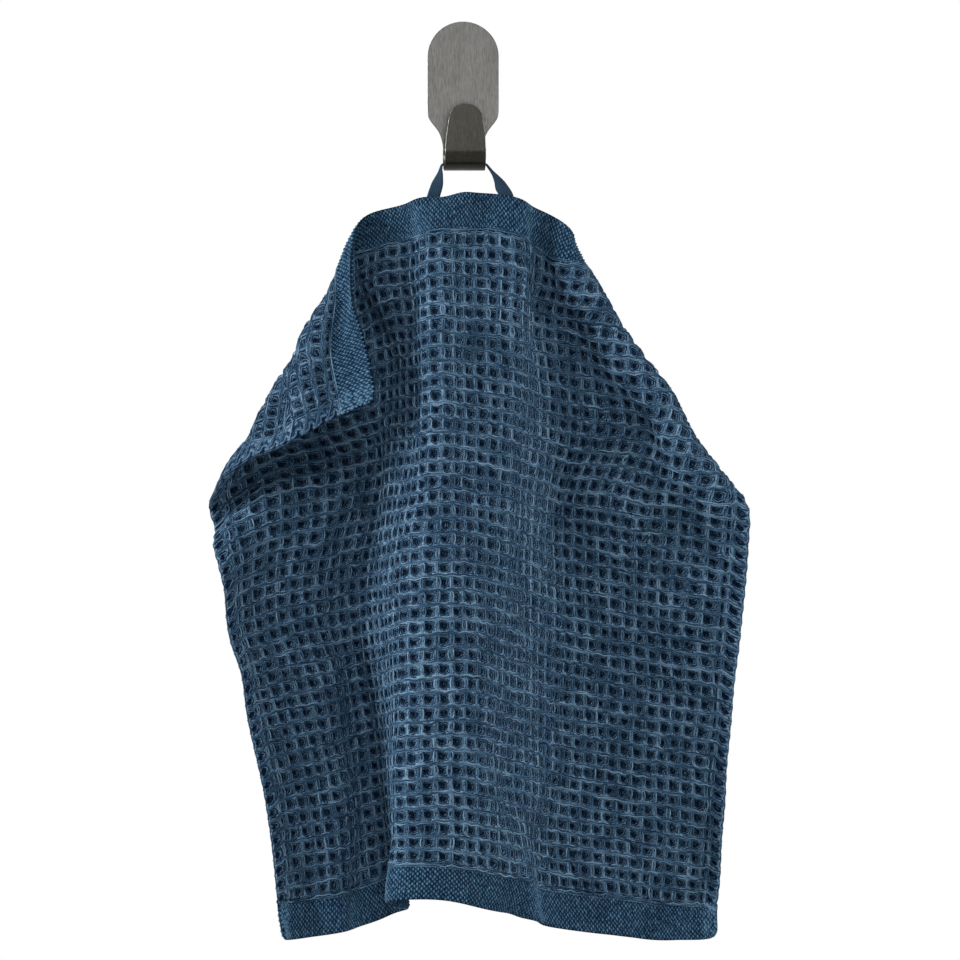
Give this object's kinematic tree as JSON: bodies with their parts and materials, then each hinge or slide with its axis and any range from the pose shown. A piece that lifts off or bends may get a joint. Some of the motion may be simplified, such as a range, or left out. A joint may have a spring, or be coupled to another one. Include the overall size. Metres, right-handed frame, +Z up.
{
  "type": "kitchen towel and wall hook",
  "caption": "Square waffle-weave cotton kitchen towel with plain hems, hanging in soft folds by its sewn tape loop from a bent steel strip wall hook.",
  "frame": {"origin": "centre of the hook plate's flat back, midway between its sides and 25 mm under its round top", "axes": "+Z up; +Y out of the plate's back, into what it is fixed to, so the front faces -Y; +X to the right seen from the front"},
  "size_m": [0.2313, 0.0569, 0.3915],
  "materials": {
    "waffle_cotton": "waffle weave, matt, dyed in the yarn",
    "cotton_tape": "plain woven tape, matt",
    "steel_strip": "brushed lengthwise, satin"
  },
  "bodies": {
    "root": {"towel": "waffle_cotton", "hanging_loop": "cotton_tape", "wall_hook": "steel_strip"}
  },
  "joints": []
}
